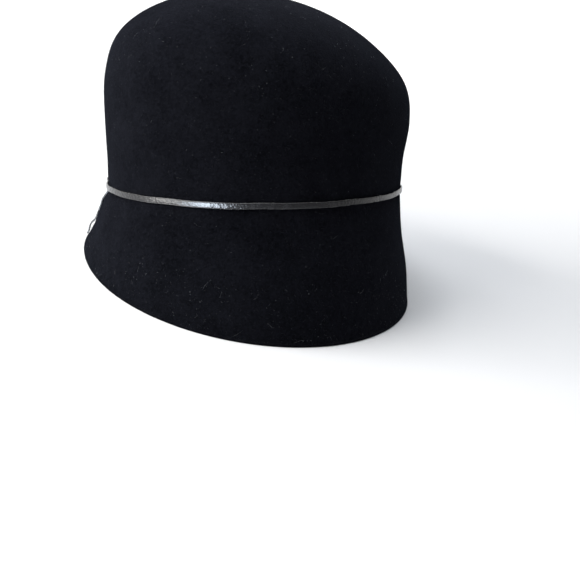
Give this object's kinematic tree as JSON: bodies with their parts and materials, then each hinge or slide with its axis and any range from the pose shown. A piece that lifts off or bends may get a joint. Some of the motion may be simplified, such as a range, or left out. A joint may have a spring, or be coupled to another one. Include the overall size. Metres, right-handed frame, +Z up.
{
  "type": "cloche hat",
  "caption": "One-piece felt cloche hat: tall rounded crown, short brim turned down and deeper on one side, narrow leather strap round the crown's base.",
  "frame": {"origin": "middle of the hat's bounding box on the surface that its rim rests on", "axes": "+Z up, square to the rim; -Y to the front of the hat; +X to the wearer's left, where the brim is deepest"},
  "size_m": [0.2074, 0.2244, 0.1546],
  "materials": {
    "felt": "black wool felt, fine nap, matt",
    "strap_leather": "black leather, fine grain, semi-gloss"
  },
  "bodies": {
    "root": {"felt_body": "felt", "strap": "strap_leather", "strap_keeper": "strap_leather", "strap_tail": "strap_leather"}
  },
  "joints": []
}
